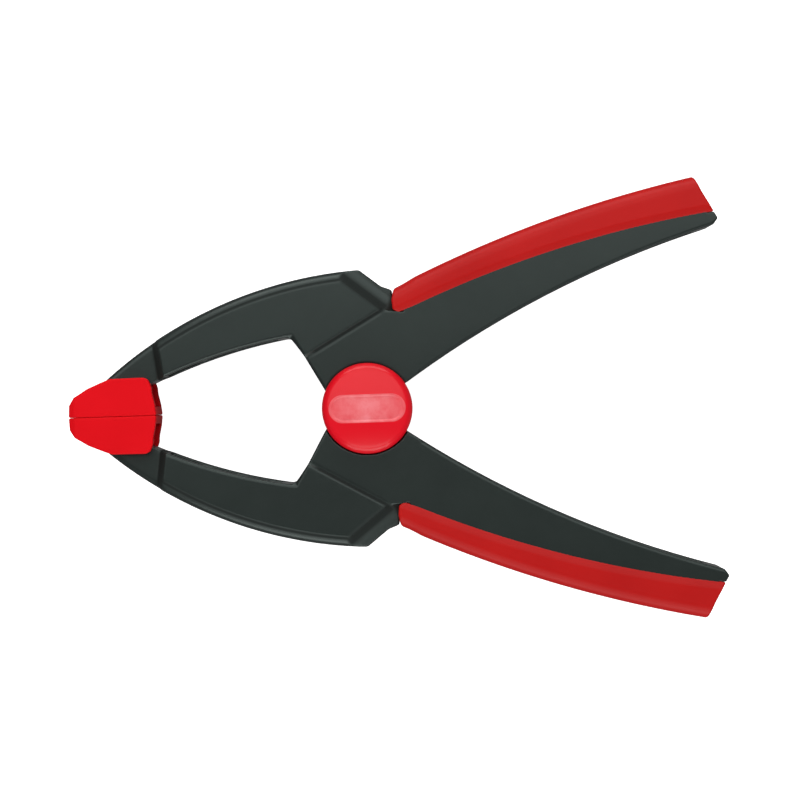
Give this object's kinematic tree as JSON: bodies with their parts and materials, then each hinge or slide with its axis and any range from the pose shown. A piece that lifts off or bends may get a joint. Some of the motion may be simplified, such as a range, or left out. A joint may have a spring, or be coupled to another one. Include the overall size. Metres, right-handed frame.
{
  "type": "spring clamp",
  "caption": "Hand spring clamp with curved throat jaws, swivelling jaw pads, soft handle grips and a round-capped spring hinge.",
  "frame": {"origin": "on the hinge pin's axis, at the flat outer face of the rear hub cap, on which the clamp lies", "axes": "+X from the hinge towards the handles, jaws towards -X; +Y towards the upper arm; +Z along the hinge pin, out of the front hub cap"},
  "size_m": [0.1588, 0.107, 0.026],
  "materials": {
    "arm_plastic": "fine satin, glass-filled nylon",
    "soft_grip": "smooth soft-touch",
    "pad_plastic": "smooth matte",
    "cap_plastic": "glossy",
    "pin_steel": "bright zinc plated",
    "spring_steel": "oiled spring steel",
    "natural_nylon": "natural nylon"
  },
  "bodies": {
    "lower_side": {"lower_arm": "arm_plastic", "lower_grip": "soft_grip", "lower_pad_pin": "pin_steel", "pivot_pin": "pin_steel", "front_washer": "pin_steel", "rear_washer": "pin_steel", "retaining_ring": "spring_steel", "spring_bush": "natural_nylon", "torsion_spring": "spring_steel", "front_hub_cap": "cap_plastic", "rear_hub_cap": "cap_plastic"},
    "upper_side": {"upper_arm": "arm_plastic", "upper_grip": "soft_grip", "upper_pad_pin": "pin_steel"},
    "lower_swivel_pad": {"lower_pad": "pad_plastic"},
    "upper_swivel_pad": {"upper_pad": "pad_plastic"}
  },
  "joints": [
    {"name": "jaw_hinge", "type": "hinge", "parent": "lower_side", "child": "upper_side", "pos_m": [0, 0, 0.013], "axis": [0, 0, -1], "range_deg": [0, 48], "stiffness_Nm_per_rad": 1, "springref_deg": -60.16, "deforming": ["torsion_spring"]},
    {"name": "upper_pad_swivel", "type": "hinge", "parent": "upper_side", "child": "upper_swivel_pad", "pos_m": [-0.0613, 0.006, 0.013], "axis": [0, 0, 1], "range_deg": [0, 24]},
    {"name": "lower_pad_swivel", "type": "hinge", "parent": "lower_side", "child": "lower_swivel_pad", "pos_m": [-0.0613, -0.006, 0.013], "axis": [0, 0, -1], "range_deg": [0, 24]}
  ],
  "couplings": [
    {"joint": "upper_pad_swivel", "follows": "jaw_hinge", "ratio": 0.5},
    {"joint": "lower_pad_swivel", "follows": "jaw_hinge", "ratio": 0.5}
  ]
}
